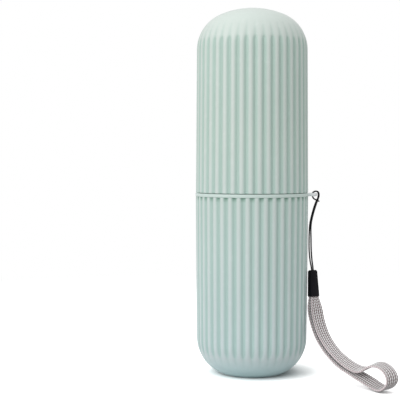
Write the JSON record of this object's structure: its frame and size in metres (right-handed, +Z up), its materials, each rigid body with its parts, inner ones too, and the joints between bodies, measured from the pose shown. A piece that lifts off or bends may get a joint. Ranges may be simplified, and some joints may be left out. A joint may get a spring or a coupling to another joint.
{
  "type": "toothbrush travel case",
  "caption": "Upright ribbed capsule for toothbrushes: a flat-footed lower cup and a lift-off upper cup meet at a collar with an eye that carries a thin cord, a clip and a wrist strap.",
  "frame": {"origin": "middle of the lower cup's flat foot", "axes": "+Z up along the capsule, +X through the collar's eye, -Y towards the viewer of the picture"},
  "size_m": [0.1058, 0.0887, 0.202],
  "materials": {
    "case": "fine matte mint",
    "collar": "satin mint",
    "clip": "matte black",
    "cord": "braided black cord",
    "strap": "woven warm grey"
  },
  "bodies": {
    "lower": {"lower_cup": "case", "collar": "collar"},
    "upper": {"upper_cup": "case"},
    "lanyard": {"lanyard_cord": "cord", "lanyard_clip": "clip", "wrist_strap": "strap"}
  },
  "joints": [
    {"name": "cup_lift", "type": "slide", "parent": "lower", "child": "upper", "axis": [0, 0, 1], "range_m": [0, 0.11]},
    {"name": "lanyard_swing", "type": "hinge", "parent": "lower", "child": "lanyard", "pos_m": [0.0352, 0, 0.0993], "axis": [0, -1, 0], "range_deg": [0, 150]}
  ]
}
